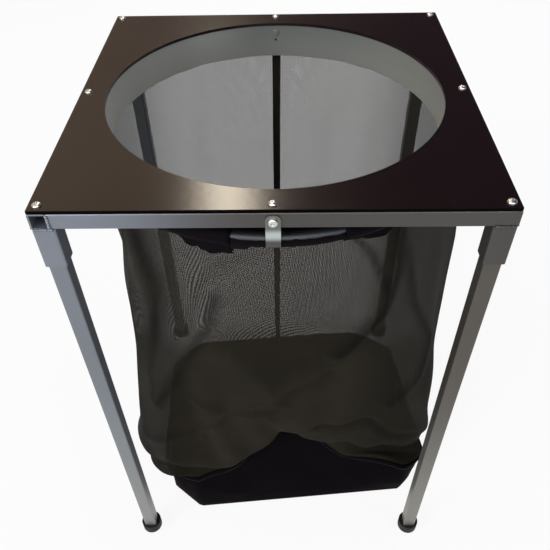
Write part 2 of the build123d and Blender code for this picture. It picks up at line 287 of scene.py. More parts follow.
def joiner_plastic():
    f = Finish("joiner_plastic")
    where = f.place()
    cloud = f.clouds(where, 80.0, 2.0)
    return f.done(Base_Color=f.colour(cloud, tint(26, 26, 27), tint(40, 40, 41)),
                  Roughness=0.38 + cloud * 0.15, Normal=f.bump(cloud, 0.1, 0.0002))


# ---- finishes of the cloth ------------------------------------------------------
def netting():
    """Open square mesh: threads on a fine pitch, clear between them."""
    f = Finish("netting")
    u, v, _ = f.split(f.cloth_place())
    across = u.wrapped(net_pitch / 2) / (net_pitch / 2)
    down = v.wrapped(net_pitch / 2) / (net_pitch / 2)
    open_share = across.step(net_thread - 0.12, net_thread + 0.12) * down.step(net_thread - 0.12, net_thread + 0.12)
    cloud = f.clouds(f.cloth_place(), 9.0, 3.0)
    lint = f.clouds(f.cloth_place(), 60.0, 3.0).step(0.62, 0.8)
    crowd, shade = f.kept("crowd"), f.kept("shade")
    thread = f.colour(cloud, tint(34, 31, 25), tint(52, 48, 40))
    thread = f.colour(lint * 0.3, thread, tint(80, 74, 62))
    # painted shade: threads darker where the kept shade is high
    thread = f.colour(shade, thread, tint(11, 9, 8))
    return f.done(Base_Color=thread, Roughness=0.78 + cloud * 0.1, Specular_IOR_Level=0.05,
                  Alpha=1.0 - open_share * (1.0 - crowd),
                  Normal=f.bump(across * down, 0.3, 0.0003))


def woven(name, dark, pale, pitch, shine):
    """Close plain weave, with a faint crease pattern."""
    f = Finish(name)
    where = f.cloth_place()
    u, v, _ = f.split(where)
    turn = math.pi / pitch
    weave = ((u * turn).sine() * (v * turn).sine() + 1.0) * 0.5
    cloud = f.clouds(where, 7.0, 4.0)
    creases = f.clouds(where, 26.0, 5.0, 0.6)
    lint = f.cells(where, 120.0).step(0.08, 0.02) * cloud.step(0.5, 0.7)
    cloth = f.colour(cloud, dark, pale)
    cloth = f.colour(weave * 0.25, cloth, pale)
    cloth = f.colour(lint * 0.4, cloth, tint(110, 104, 98))
    return f.done(Base_Color=cloth, Roughness=shine + cloud * 0.12, Specular_IOR_Level=0.04,
                  Normal=f.bump(weave, 0.35, 0.0002, f.bump(creases, 0.35, 0.002)))


def thread_finish():
    f = Finish("sewing_thread")
    cloud = f.clouds(f.place(), 400.0, 2.0)
    return f.done(Base_Color=f.colour(cloud, tint(20, 19, 20), tint(46, 43, 42)), Roughness=0.6 + cloud * 0.15)


# ---- shapes ----------------------------------------------------------------------
def shown(name, mesh, material, smooth=True):
    """A new piece from a mesh."""
    piece = bpy.data.objects.new(name, mesh)
    bpy.context.scene.collection.objects.link(piece)
    if material:
        mesh.materials.clear()
        mesh.materials.append(material)
    if smooth:
        mesh.shade_smooth()
    return piece


def skin(name, grid, around=True, flat=None):
    """A mesh over a grid of points: rows run down, columns run round. flat holds its cloth coordinates."""
    rows, columns = grid.shape[:2]
    mesh = bpy.data.meshes.new(name)
    spans = columns if around else columns - 1
    faces = []
    for i in range(rows - 1):
        for j in range(spans):
            k = (j + 1) % columns
            faces.append((i * columns + j, (i + 1) * columns + j, (i + 1) * columns + k, i * columns + k))
    mesh.from_pydata([tuple(p) for p in grid.reshape(-1, 3)], [], faces)
    if flat is not None:
        layer = mesh.uv_layers.new(name="cloth")
        places = []
        for i in range(rows - 1):
            for j in range(spans):
                places += [flat[i, j], flat[i + 1, j], flat[i + 1, j + 1], flat[i, j + 1]]
        layer.data.foreach_set("uv", np.array(places, np.float32).ravel())
    return mesh


def finished(piece):
    """Turns a piece's modifiers into plain mesh."""
    depsgraph = bpy.context.evaluated_depsgraph_get()
    mesh = bpy.data.meshes.new_from_object(piece.evaluated_get(depsgraph), preserve_all_data_layers=True,
                                           depsgraph=depsgraph)
    piece.modifiers.clear()
    piece.data = mesh
    return piece


def thickened(piece, thickness, offset=0.0):
    wall = piece.modifiers.new("wall", "SOLIDIFY")
    wall.thickness, wall.offset = thickness, offset
    return finished(piece)


# ---- the outline of the bag -------------------------------------------------------
columns = 180
net_rows = 72
round_hoop = 2 * math.pi * hoop_radius
net_pitch = 0.0016
net_thread = 0.50           # threads' share of the pitch
floor_height = 0.003

# Corners of the tray's floor, anticlockwise from the middle of the rear.
tray_corners = [(-0.003, 0.171), (-0.180, 0.154), (-0.226, 0.100), (-0.203, -0.160), (-0.150, -0.202),
                (0.232, -0.166), (0.263, -0.124), (0.243, 0.140), (0.174, 0.188)]
# Height of the seam above the floor and how far it leans in, by distance round from the rear.
seam_line = [(0.000, 0.050, 0.000), (0.110, 0.050, 0.000), (0.200, 0.052, -0.003), (0.420, 0.056, -0.006),
             (0.510, 0.060, 0.000), (0.545, 0.066, 0.006), (0.580, 0.080, 0.016), (0.605, 0.082, 0.022),
             (0.640, 0.082, 0.028), (0.664, 0.090, 0.036), (0.681, 0.116, 0.044), (0.697, 0.140, 0.052),
             (0.714, 0.156, 0.058), (0.735, 0.170, 0.064), (0.764, 0.166, 0.064), (0.785, 0.151, 0.058),
             (0.799, 0.136, 0.052), (0.817, 0.114, 0.046), (0.836, 0.096, 0.038), (0.860, 0.087, 0.031),
             (0.900, 0.083, 0.024), (0.940, 0.080, 0.012), (0.965, 0.078, -0.002), (1.000, 0.072, -0.012),
             (1.050, 0.062, -0.011), (1.120, 0.056, -0.008), (1.250, 0.054, -0.004), (1.350, 0.050, 0.000),
             (1.534, 0.050, 0.000)]


def along(points, stations):
    """Points of a closed line at given distances from its start, and its whole length."""
    points = np.array(points + points[:1])
    steps = np.linalg.norm(np.diff(points, axis=0), axis=1)
    marks = np.concatenate([[0], np.cumsum(steps)])
    stations = np.asarray(stations) * marks[-1]
    return np.stack([np.interp(stations, marks, points[:, k]) for k in range(points.shape[1])], 1), marks[-1]


def hoop_line(radius, height):
    """Points round the hoop, anticlockwise from the rear."""
    angle = math.pi / 2 + 2 * math.pi * np.arange(columns) / columns
    return np.stack([radius * np.cos(angle), radius * np.sin(angle), np.full(columns, height)], 1)


def tray_lines():
    """The tray's bottom edge and the seam on top of its walls, one point for each column."""
    share = np.arange(columns) / columns
    foot, length = along(tray_corners, share)
    way = share * length
    marks, rises, leans = np.array(seam_line).T
    rise = np.interp(way, marks, rises)
    lean = np.interp(way, marks, leans)
    for _ in range(4):
        rise = (np.roll(rise, 1) + rise * 2 + np.roll(rise, -1)) / 4
        lean = (np.roll(lean, 1) + lean * 2 + np.roll(lean, -1)) / 4
    ahead = np.roll(foot, -1, 0) - np.roll(foot, 1, 0)
    for _ in range(3):
        ahead = (np.roll(ahead, 1, 0) + ahead * 2 + np.roll(ahead, -1, 0)) / 4
    ahead /= np.linalg.norm(ahead, axis=1)[:, None]
    outward = np.stack([ahead[:, 1], -ahead[:, 0]], 1)
    bottom = np.concatenate([foot, np.full((columns, 1), floor_height)], 1)
    top = np.concatenate([foot - outward * lean[:, None], (floor_height + rise)[:, None]], 1)
    return bottom, top, outward, way


def ripple(points, scale, seed):
    """Smooth random numbers for an array of points, the same on every run."""
    shift = Vector((seed * 3.1, seed * 5.7, seed * 1.3))
    flat = points.reshape(-1, 3)
    values = [noise.noise(Vector(p) * scale + shift) for p in flat]
    return np.array(values).reshape(points.shape[:-1])


def tray_cloth(bottom, top, outward, way):
    """Walls and floor of solid cloth, sewn along the lower edge."""
    wall_rows, rings = 9, 16
    out = np.concatenate([outward, np.zeros((columns, 1))], 1)
    share = np.linspace(0, 1, wall_rows)[:, None, None]
    wall = top * (1 - share) + bottom * share
    soft = ripple(wall, 16.0, 3) * 0.007 + ripple(wall, 42.0, 4) * 0.003
    wall = wall + out * ((soft + 0.004)[..., None] * np.sin(math.pi * share))
    middle = bottom.mean(0)
    in_share = np.linspace(1, 0, rings + 1)[1:, None, None]
    ground = middle + (bottom - middle) * in_share
    lift = (ripple(ground, 14.0, 5) + ripple(ground, 40.0, 6) * 0.4) * 0.0035
    ground[..., 2] = floor_height - 0.0004 + np.maximum(lift, 0) * np.sin(math.pi * in_share[..., 0])
    grid = np.concatenate([wall, ground])
    flat = np.zeros((len(grid), columns + 1, 2))
    length = way[-1] + way[1]
    flat[:wall_rows, :columns, 0], flat[:wall_rows, columns, 0] = way, length
    flat[:wall_rows, :, 1] = -np.linspace(0, 0.06, wall_rows)[:, None]
    flat[wall_rows:, :columns] = ground[..., :2] + 2.0
    flat[wall_rows:, columns] = flat[wall_rows:, 0]
    mesh = skin("tray_cloth", grid, flat=flat)
    form = bmesh.new()
    form.from_mesh(mesh)
    bmesh.ops.remove_doubles(form, verts=form.verts, dist=0.00001)
    form.to_mesh(mesh)
    form.free()
    return shown("tray_cloth", mesh, woven("tray_weave", tint(6, 4, 6), tint(12, 8, 12), 0.0011, 0.72))


def net_start(upper, seam, out):
    """The netting before it sags, and the lengths that it was cut to."""
    share = np.linspace(0, 1, net_rows)[:, None, None]
    angle = 90 + 360 * np.arange(columns) / columns
    spot = lambda at, wide: np.exp(-(((angle - at + 180) % 360 - 180) / wide) ** 2)
    belly = 0.018 * spot(172, 40) + 0.036 * spot(214, 26) + 0.022 * spot(245, 16) + 0.024 * spot(308, 20)
    belly += 0.014 * spot(336, 22) + 0.006 * spot(0, 40) + 0.006 * spot(90, 40) - 0.004 * spot(272, 14)
    start = upper * (1 - share) + seam * share
    swell = np.sin(math.pi * share ** 2.5) * belly[None, :, None]
    start = start + out * swell
    loose = 0.004 + 0.034 * spot(180, 50) + 0.048 * spot(222, 26) + 0.048 * spot(314, 22) + 0.040 * spot(0, 50)
    pleats = ripple(start * np.array((1, 1, 0.35)), 22.0, 1) * 0.010 + ripple(start, 60.0, 2) * 0.003
    start = start + out * (pleats[..., None] * np.sin(math.pi * share))
    length = np.linalg.norm(upper - seam, axis=1) + loose
    cut = start.copy()
    cut[..., 2] = -length[None, :] * share[..., 0]
    return start, cut, length


def sagged(start, cut, tray):
    """Brings the cut tube of netting to the hoop and the seam, fills it out and lets it settle."""
    lift = start[0, :, 2].mean() + 0.06
    net = shown("net_settling", skin("net_settling", cut + (0, 0, lift)), None)
    net.shape_key_add(name="Basis")
    fitted = net.shape_key_add(name="fitted")
    goal = cut + (0, 0, lift)
    goal[0], goal[-1] = start[0], start[-1]
    fitted.data.foreach_set("co", goal.astype(np.float32).ravel())
    held = net.vertex_groups.new(name="held")
    held.add(list(range(columns)) + list(range((net_rows - 1) * columns, net_rows * columns)), 1.0, "REPLACE")
    floor = shown("net_floor", bpy.data.meshes.new("net_floor"), None)
    floor.data.from_pydata([(-1, -1, 0.001), (1, -1, 0.001), (1, 1, 0.001), (-1, 1, 0.001)], [], [(0, 1, 2, 3)])
    for stop in (tray, floor):
        stop.modifiers.new("stop", "COLLISION")
        stop.collision.thickness_outer = 0.002
        stop.collision.cloth_friction = 12
        for step, on in ((1, False), (fit_frames + 2, True)):
            stop.collision.use = on
            stop.collision.keyframe_insert("use", frame=step)
    cloth = net.modifiers.new("cloth", "CLOTH")
    rules = cloth.settings
    rules.quality = 6
    rules.mass = 0.12
    rules.tension_stiffness, rules.compression_stiffness, rules.shear_stiffness = 60, 20, 6
    rules.bending_stiffness = net_bending
    rules.tension_damping = rules.compression_damping = rules.shear_damping = 6
    rules.air_damping = 1.0
    rules.vertex_group_mass = "held"
    rules.pin_stiffness = 1
    rules.use_pressure = True
    cloth.collision_settings.distance_min = 0.003
    cloth.collision_settings.collision_quality = 2
    cloth.point_cache.frame_end = fit_frames + fill_frames + settle_frames
    scene = bpy.context.scene
    for step, share in ((1, 0.0), (fit_frames, 1.0)):
        fitted.value = share
        fitted.keyframe_insert("value", frame=step)
    for step, force in ((1, net_fill), (fit_frames + fill_frames, net_fill), (fit_frames + fill_frames + 6, net_rest_fill)):
        rules.uniform_pressure_force = force
        rules.keyframe_insert("uniform_pressure_force", frame=step)
    for step in range(1, fit_frames + fill_frames + settle_frames + 1):
        scene.frame_set(step)
    mesh = net.evaluated_get(bpy.context.evaluated_depsgraph_get()).to_mesh()
    places = np.empty(len(mesh.vertices) * 3, np.float32)
    mesh.vertices.foreach_get("co", places)
    scene.frame_set(1)
    for stop in (tray, floor):
        stop.modifiers.clear()
        stop.animation_data_clear()
    bpy.data.objects.remove(net)
    bpy.data.objects.remove(floor)
    return places.reshape(net_rows, columns, 3).astype(float)


fit_frames, fill_frames, settle_frames = 16, 10, 34
net_bending = 1.5
net_fill = 4.0
net_rest_fill = 0.8



def net_piece(grid, length, tight, shade):
    """The netting as one tube, with its threads' pattern laid along the cloth."""
    share = np.linspace(0, 1, net_rows)
    flat = np.zeros((net_rows, columns + 1, 2))
    flat[..., 0] = np.arange(columns + 1) * round_hoop / columns
    flat[..., 1] = -share[:, None] * np.append(length, length[0])[None, :]
    piece = shown("net_bag", skin("net_bag", grid, flat=flat), netting())
    wide = np.linalg.norm(np.roll(grid, -1, 1) - grid, axis=2) / (round_hoop / columns)
    tall = np.linalg.norm(np.diff(grid, axis=0, append=grid[-1:]), axis=2) / (length / (net_rows - 1))
    tall[-1] = tall[-2]
    crowd = 1 - (1 - np.clip(1.0 - wide * tall, 0, 0.5) * 0.8) * (1 - tight)
    for name, values in (("crowd", crowd), ("shade", shade)):
        layer = piece.data.attributes.new(name, "FLOAT", "POINT")
        layer.data.foreach_set("value", values.astype(np.float32).ravel())
    finer = piece.modifiers.new("finer", "SUBSURF")
    finer.levels = finer.render_levels = 1
    finer.uv_smooth = "NONE"
    return finished(piece)


# Folds of the hanging netting: height and half width in metres, how tight the mesh is drawn together in them,
# and the way they run, as degrees round the hoop and share of the way down.
net_folds = [(0.000, 0.034, 0.80, [(170, 0.24), (166, 0.42), (158, 0.58), (168, 0.66), (182, 0.78)]),
             (0.000, 0.018, 0.45, [(222, 0.04), (228, 0.13), (230, 0.20), (223, 0.30), (208, 0.44)]),
             (0.009, 0.009, 0.60, [(251, 0.17), (246, 0.27), (236, 0.35), (228, 0.44), (216, 0.56)]),
             (0.004, 0.007, 0.22, [(264, 0.03), (254, 0.07), (246, 0.14), (240, 0.24), (236, 0.34)]),
             (0.012, 0.012, 0.80, [(307, 0.02), (306, 0.13), (302, 0.23), (296, 0.28), (286, 0.36)]),
             (0.006, 0.005, 0.75, [(291, 0.00), (297, 0.06), (301, 0.13), (303, 0.20)]),
             (0.007, 0.007, 0.60, [(310, 0.08), (314, 0.23), (323, 0.37), (318, 0.47), (308, 0.58)]),
             (0.003, 0.016, 0.60, [(343, 0.02), (342, 0.18), (338, 0.41), (332, 0.61), (330, 0.92)]),
             (0.002, 0.011, 0.50, [(206, 0.02), (208, 0.20), (204, 0.45), (208, 0.70), (206, 0.92)]),
             (0.008, 0.007, 0.25, [(208, 0.74), (222, 0.66), (246, 0.60), (268, 0.60)]),
             (-0.008, 0.008, 0.35, [(280, 0.72), (300, 0.66), (318, 0.74), (330, 0.86)]),
             (0.006, 0.008, 0.30, [(232, 0.52), (250, 0.62), (262, 0.70)]),
             (-0.007, 0.010, 0.30, [(284, 0.44), (270, 0.56), (262, 0.66)])]


def gathers(way, share, down):
    """How far the folds stand out, and how closely they draw the mesh together, over the netting."""
    across = np.radians((way - 90) % 360) * hoop_radius
    place = np.stack(np.broadcast_arrays(across[None, :], share[:, None] * down), 2)
    relief, tight = np.zeros(place.shape[:2]), np.zeros(place.shape[:2])
    for height, wide, draw, line in net_folds:
        line = np.array([(math.radians((a - 90) % 360) * hoop_radius, s * down) for a, s in line])
        gap = np.full(place.shape[:2], 9.0)
        for a, b in zip(line, line[1:]):
            step = b - a
            part = np.clip(((place - a) @ step) / (step @ step), 0, 1)
            gap = np.minimum(gap, np.linalg.norm(place - a - part[..., None] * step, axis=2))
        bell = np.exp(-(gap / wide) ** 2)
        relief += height * bell
        tight = np.maximum(tight, draw * bell)
    return relief, tight


# Where the netting stands further out than it settled, or further in: degrees round the hoop, share of the way
# down, reach and height in metres.
net_swells = [(198, 0.17, 0.055, -0.0155), (210, 0.26, 0.050, -0.003), (206, 0.93, 0.058, 0.048),
              (196, 0.86, 0.050, 0.006), (214, 0.97, 0.035, 0.014), (344, 0.17, 0.070, 0.0120),
              (342, 0.32, 0.060, 0.004), (338, 0.52, 0.060, 0.000), (336, 0.70, 0.065, -0.007),
              (334, 0.88, 0.050, -0.003), (204, 0.80, 0.060, 0.006), (250, 0.86, 0.045, -0.008), (285, 0.87, 0.040, -0.008)]


def eased(grid, passes):
    """The grid with its small creases smoothed out, its top and bottom edges kept."""
    for _ in range(passes):
        mean = (grid[:-2] + grid[2:] + np.roll(grid, 1, 1)[1:-1] + np.roll(grid, -1, 1)[1:-1]) / 4
        grid = np.concatenate([grid[:1], (grid[1:-1] + mean) / 2, grid[-1:]])
    return grid


def swollen(grid, way, share, down):
    """The grid moved level, out or in, by net_swells."""
    across = np.roll(grid, -1, 1) - np.roll(grid, 1, 1)
    for _ in range(6):
        across = (np.roll(across, 1, 1) + 2 * across + np.roll(across, -1, 1)) / 4
    out = np.stack([across[..., 1], -across[..., 0], 0 * across[..., 0]], 2)
    out /= np.linalg.norm(out, axis=2, keepdims=True)
    height = np.zeros(grid.shape[:2])
    for at, part, reach, rise in net_swells:
        aside = np.radians((way - at + 180) % 360 - 180) * hoop_radius
        gap = np.hypot(aside[None, :], (share[:, None] - part) * down)
        height += rise * np.exp(-(gap / reach) ** 2)
    ends = np.clip(share / 0.08, 0, 1) * np.clip((1 - share) / 0.04, 0, 1)
    return grid + out * (height * ends[:, None])[..., None]


def outward_of(grid):
    """Unit directions out of a grid's surface."""
    across = np.roll(grid, -1, 1) - np.roll(grid, 1, 1)
    down = np.gradient(grid, axis=0)
    out = np.cross(down, across)
    return out / np.maximum(np.linalg.norm(out, axis=2, keepdims=True), 1e-9)


def ribbon(name, strips, thickness, material, around=True):
    """A strip of tape through lines of points, top line first."""
    grid = np.stack(strips)
    rows, count = grid.shape[:2]
    steps = np.linalg.norm(np.diff(grid[0], axis=0, append=grid[0][:1]), axis=1)
    way = np.concatenate([[0], np.cumsum(steps)])[:count + 1]
    tall = np.concatenate([[0], np.cumsum(np.linalg.norm(np.diff(grid, axis=0), axis=2).mean(1))])
    flat = np.stack(np.broadcast_arrays(way[None, :], -tall[:, None]), 2)
    piece = shown(name, skin(name, grid, around=around, flat=flat), material)
    return thickened(piece, thickness)


def hem_sleeve(name, start, end, drop, seed, material, droops=()):
    """Cloth folded over the hose, its two edges sewn together and hanging below it.

    droops lists places round the hoop, in degrees, and how much further the edges hang there."""
    steps = max(int((end - start) / 1.3), 12)
    turn = np.radians(np.linspace(start, end, steps))
    reach = hose_radius + 0.0015
    profile = []
    for k in range(7):
        profile.append((0.0022, -reach - drop * (1 - k / 6.5), 1 - k / 6.5))
    for k in range(17):
        angle = math.radians(-62 + 304 * k / 16)
        profile.append((reach * math.cos(angle), reach * math.sin(angle), 0.0))
    for k in range(7):
        profile.append((-0.0022, -reach - drop * (k + 0.5) / 6.5, (k + 0.5) / 6.5))
    grid = np.zeros((len(profile), steps, 3))
    for i, (out, up, loose) in enumerate(profile):
        for j, a in enumerate(turn):
            base = Vector((math.cos(a) * 14, math.sin(a) * 14, seed))
            wave = noise.noise(base * 0.9) * 0.006 + noise.noise(base * 2.6) * 0.003
            wrinkle = noise.noise(Vector((a * 30, i * 0.25, seed + 9))) * 0.0012
            edge = noise.noise(base * 1.4 + Vector((0, 0, 4))) * 0.35 + 1.0
            radius = hoop_radius + out + loose * (wave + 0.001) + abs(wrinkle) * (1 if out > 0 else -1)
            extra = float(np.interp(math.degrees(a), [d[0] for d in droops], [d[1] for d in droops])) if droops else 0.0
            height = hoop_height + up if not loose else hoop_height - reach - (-up - reach) * edge - extra * loose
            grid[i, j] = (radius * math.cos(a), radius * math.sin(a), height - abs(wrinkle) * 0.3)
    flat = np.zeros((len(profile), steps, 2))
    tall = np.concatenate([[0], np.cumsum(np.linalg.norm(np.diff(grid, axis=0), axis=2).mean(1))])
    flat[..., 0] = (turn - turn[0]) * hoop_radius
    flat[..., 1] = tall[:, None]
    mesh = skin(name, grid, around=False, flat=flat)
    mesh.flip_normals()
    return thickened(shown(name, mesh, material), 0.0011)


# ---- pieces that repeat --------------------------------------------------------------
class Grower:
    """A Geometry Nodes tree with named inputs, made step by step."""

    def __init__(self, name, **numbers):
        self.tree = bpy.data.node_groups.new(name, "GeometryNodeTree")
        self.tree.interface.new_socket("Geometry", in_out="INPUT", socket_type="NodeSocketGeometry")
        self.tree.interface.new_socket("Geometry", in_out="OUTPUT", socket_type="NodeSocketGeometry")
        self.keys = {}
        for label, number in numbers.items():
            kind = {int: "NodeSocketInt", float: "NodeSocketFloat", tuple: "NodeSocketVector"}[type(number)]
            socket = self.tree.interface.new_socket(label.replace("_", " "), in_out="INPUT", socket_type=kind)
            socket.default_value = number
            self.keys[label] = socket.identifier
        self.entry = self.tree.nodes.new("NodeGroupInput")

    def given(self, label):
        return self.entry.outputs[label.replace("_", " ")]

    def add(self, kind, settings=None, inputs=None, out=0):
        node = self.tree.nodes.new(kind)
        for key, setting in (settings or {}).items():
            setattr(node, key, setting)
        for key, given in (inputs or {}).items():
            if isinstance(given, bpy.types.NodeSocket):
                self.tree.links.new(given, node.inputs[key])
            else:
                node.inputs[key].default_value = given
        return node.outputs[out]

    def close(self, instances, material):
        """Makes the copies real, smooth and finished in the material."""
        real = self.add("GeometryNodeRealizeInstances", None, {0: instances})
        soft = self.add("GeometryNodeSetShadeSmooth", None, {0: real})
        done = self.add("GeometryNodeSetMaterial", None, {0: soft, "Material": material})
        exit_node = self.tree.nodes.new("NodeGroupOutput")
        self.tree.links.new(done, exit_node.inputs[0])
        return self


def grown(name, carrier, grower, **numbers):
    """Runs a tree on a carrier object and keeps the result as a plain piece."""
    modifier = carrier.modifiers.new("grow", "NODES")
    modifier.node_group = grower.tree
    for label, number in numbers.items():
        modifier[grower.keys[label]] = number
    depsgraph = bpy.context.evaluated_depsgraph_get()
    mesh = bpy.data.meshes.new_from_object(carrier.evaluated_get(depsgraph), depsgraph=depsgraph)
    bpy.data.objects.remove(carrier)
    piece = bpy.data.objects.new(name, mesh)
    bpy.context.scene.collection.objects.link(piece)
    return piece


def path(lines):
    """A curve object of straight-sided lines, each a list of points and whether it closes."""
    curve = bpy.data.curves.new("path", "CURVE")
    curve.dimensions = "3D"
    for points, closed in lines:
        spline = curve.splines.new("POLY")
        spline.points.add(len(points) - 1)
        spline.points.foreach_set("co", [c for p in points for c in (*p, 1.0)])
        spline.use_cyclic_u = closed
    carrier = bpy.data.objects.new("path", curve)
    bpy.context.scene.collection.objects.link(carrier)
    return carrier


def dots(points):
    mesh = bpy.data.meshes.new("dots")
    mesh.from_pydata([tuple(p) for p in points], [], [])
    carrier = bpy.data.objects.new("dots", mesh)
    bpy.context.scene.collection.objects.link(carrier)
    return carrier


def row_grower(name, material, step, length, width, height, unevenness):
    """Small rounded lumps, one after another along a line: stitches, or the ripples of a weld."""
    g = Grower(name, Step=step, Length=length, Width=width, Height=height, Unevenness=unevenness, Seed=4)
    even = g.add("GeometryNodeResampleCurve", {"mode": "LENGTH"}, {"Curve": g.given("Geometry"), "Length": g.given("Step")})
    lump = g.add("GeometryNodeMeshUVSphere", None, {"Segments": 7, "Rings": 5, "Radius": 0.5})
    tangent = g.add("GeometryNodeInputTangent")
    turn = g.add("FunctionNodeAlignRotationToVector", {"axis": "X"}, {"Vector": tangent})
    low = g.add("ShaderNodeMath", {"operation": "SUBTRACT"}, {0: 1.0, 1: g.given("Unevenness")})
    high = g.add("ShaderNodeMath", {"operation": "ADD"}, {0: 1.0, 1: g.given("Unevenness")})
    chance = g.add("FunctionNodeRandomValue", {"data_type": "FLOAT"}, {2: low, 3: high, "Seed": g.given("Seed")}, out=1)
    size = g.add("ShaderNodeCombineXYZ", None, {0: g.given("Length"), 1: g.given("Width"), 2: g.given("Height")})
    scaled = g.add("ShaderNodeVectorMath", {"operation": "SCALE"}, {0: size, "Scale": chance})
    copies = g.add("GeometryNodeInstanceOnPoints", None, {
        "Points": even, "Instance": lump, "Rotation": turn, "Scale": scaled})
    return g.close(copies, material)


def screw_form():
    """A domed screw head with a bevelled cross recess, and its shank."""
    form = bmesh.new()
    rim = [(0.00240, -0.0060), (0.00240, 0.0), (0.0049, 0.0), (0.0050, 0.0003), (0.0050, 0.0008), (0.00475, 0.0014),
           (0.0042, 0.0020), (0.0034, 0.00245), (0.0022, 0.0027), (0.0011, 0.0028)]
    rings = []
    for radius, height in rim:
        rings.append([form.verts.new((radius * math.cos(a), radius * math.sin(a), height))
                      for a in (2 * math.pi * k / 32 for k in range(32))])
    for low, high in zip(rings, rings[1:]):
        for k in range(32):
            form.faces.new((low[k], low[(k + 1) % 32], high[(k + 1) % 32], high[k]))
    form.faces.new(rings[-1])
    form.faces.new(rings[0][::-1])
    mesh = bpy.data.meshes.new("screw_form")
    form.to_mesh(mesh)
    form.free()
    head = shown("screw_form", mesh, None)
    cutter_form = bmesh.new()
    for turn in (0, 90):
        made = bmesh.ops.create_cube(cutter_form, size=1.0)["verts"]
        for v in made:
            taper = 1.0 if v.co.z > 0 else 0.55
            v.co = (v.co.x * 0.0054 * taper, v.co.y * 0.0012 * taper, 0.0032 if v.co.z > 0 else 0.0013)
        bmesh.ops.rotate(cutter_form, verts=made, matrix=Matrix.Rotation(math.radians(turn), 3, "Z"))
    cutter_mesh = bpy.data.meshes.new("cross_cutter")
    cutter_form.to_mesh(cutter_mesh)
    cutter_form.free()
    cutter = shown("cross_cutter", cutter_mesh, None, smooth=False)
    cut = head.modifiers.new("cross", "BOOLEAN")
    cut.object, cut.operation, cut.solver = cutter, "DIFFERENCE", "EXACT"
    cut.use_self = True
    soft = head.modifiers.new("edges", "BEVEL")
    soft.width, soft.segments, soft.limit_method, soft.angle_limit = 0.00012, 2, "ANGLE", math.radians(35)
    finished(head)
    bpy.data.objects.remove(cutter)
    return head


# ---- camera, light and ground -----------------------------------------------------
def camera():
    lens = bpy.data.cameras.new("camera")
    lens.lens, lens.sensor_width = 40.1517, 36.0
    lens.shift_x, lens.shift_y = 0.0021893, 0.0262531
    stand = bpy.data.objects.new("camera", lens)
    stand.rotation_euler = [math.radians(a) for a in (44.95459, 0.87935, 0.48374)]
    stand.location = (0.010992, -0.738476, 1.126889)
    bpy.context.scene.collection.objects.link(stand)
    bpy.context.scene.camera = stand


def soft_light(name, place, aim, size, power, colour, mirrored=False):
    lamp = bpy.data.lights.new(name, "AREA")
    lamp.shape, lamp.size, lamp.size_y = "RECTANGLE", *size
    lamp.energy, lamp.color = power, colour
    holder = bpy.data.objects.new(name, lamp)
    holder.location = place
    holder.rotation_euler = (Vector(aim) - Vector(place)).to_track_quat("-Z", "Y").to_euler()
    holder.visible_camera = False
    holder.visible_glossy = mirrored
    bpy.context.scene.collection.objects.link(holder)


def seen_directly(f):
    """1 for camera, glossy and transmission rays."""
    path_node = f.node("ShaderNodeLightPath")
    return (f.out(path_node, "Is Camera Ray") + f.out(path_node, "Is Glossy Ray")
            + f.out(path_node, "Is Transmission Ray")).least(1.0)


def ground():
    """A plain pale floor that stays white to the eye and keeps a soft shadow."""
    f = Finish("ground")
    matt = f.node("ShaderNodeBsdfDiffuse", None, {"Color": (0.86, 0.86, 0.86, 1), "Roughness": 0.5})
    plain = f.node("ShaderNodeEmission", None, {"Color": (1, 1, 1, 1), "Strength": 1.0})
    share = seen_directly(f) * 0.9
    mixed = f.node("ShaderNodeMixShader", None, {0: share, 1: f.out(matt), 2: f.out(plain)})
    f.node("ShaderNodeOutputMaterial", None, {0: f.out(mixed)})
    mesh = bpy.data.meshes.new("ground")
    mesh.from_pydata([(-7, -7, 0), (7, -7, 0), (7, 7, 0), (-7, 7, 0)], [], [(0, 1, 2, 3)])
    shown("ground", mesh, f.material, smooth=False)


def surroundings():
    """Even light for the object, white behind it, and a room with its light to the left for reflections."""
    world = bpy.data.worlds.new("studio")
    bpy.context.scene.world = world
    world.use_nodes = True
    f = Finish.__new__(Finish)
    f.tree = world.node_tree
    f.tree.nodes.clear()
    x, y, z = f.split(f.out(f.node("ShaderNodeTexCoord"), "Generated"))
    rays = f.node("ShaderNodeLightPath")
    glossy = f.out(rays, "Is Glossy Ray")
    straight = (f.out(rays, "Is Camera Ray") + f.out(rays, "Is Transmission Ray")).least(1.0)
    lit_side = (0.0 - x).step(-0.20, 0.44) * (z.step(0.32, 0.58) * 0.55 + 0.45)
    room = f.colour(lit_side, (0.055, 0.035, 0.045), (0.88, 0.66, 0.45))
    window = (1.0 - ((x + 0.089).size()).step(0.0, 0.066)) * z.step(0.38, 0.62) * y.step(0.2, 0.5)
    room = f.colour(window, room, (19.0, 16.8, 13.4))
    front = (0.0 - y).step(0.35, 0.72) * z.step(0.28, 0.52)
    room = f.colour(front, room, (5.0, 5.3, 5.7))
    room = f.colour((0.10 - z).step(0.0, 0.10), room, (1, 1, 1))
    seen = f.colour(glossy, (0.52, 0.53, 0.55), room)
    seen = f.colour(straight, seen, (1, 1, 1))
    glow = f.node("ShaderNodeBackground", None, {"Color": seen, "Strength": 1.0})
    f.node("ShaderNodeOutputWorld", None, {0: f.out(glow)})


bpy.context.scene.view_settings.view_transform = "Standard"
camera()
surroundings()
ground()
soft_light("key", (-2.0, -1.7, 1.7), (-0.1, 0.0, 0.45), (1.2, 1.6), 46, (0.95, 0.98, 1.0), mirrored=True)
soft_light("fill", (2.3, -1.6, 1.2), (0.1, 0.0, 0.4), (1.2, 1.2), 12, (1.0, 0.93, 0.84))
soft_light("back", (0.4, 2.4, 2.0), (0.0, 0.0, 0.5), (1.6, 1.0), 22, (1.0, 0.97, 0.93))

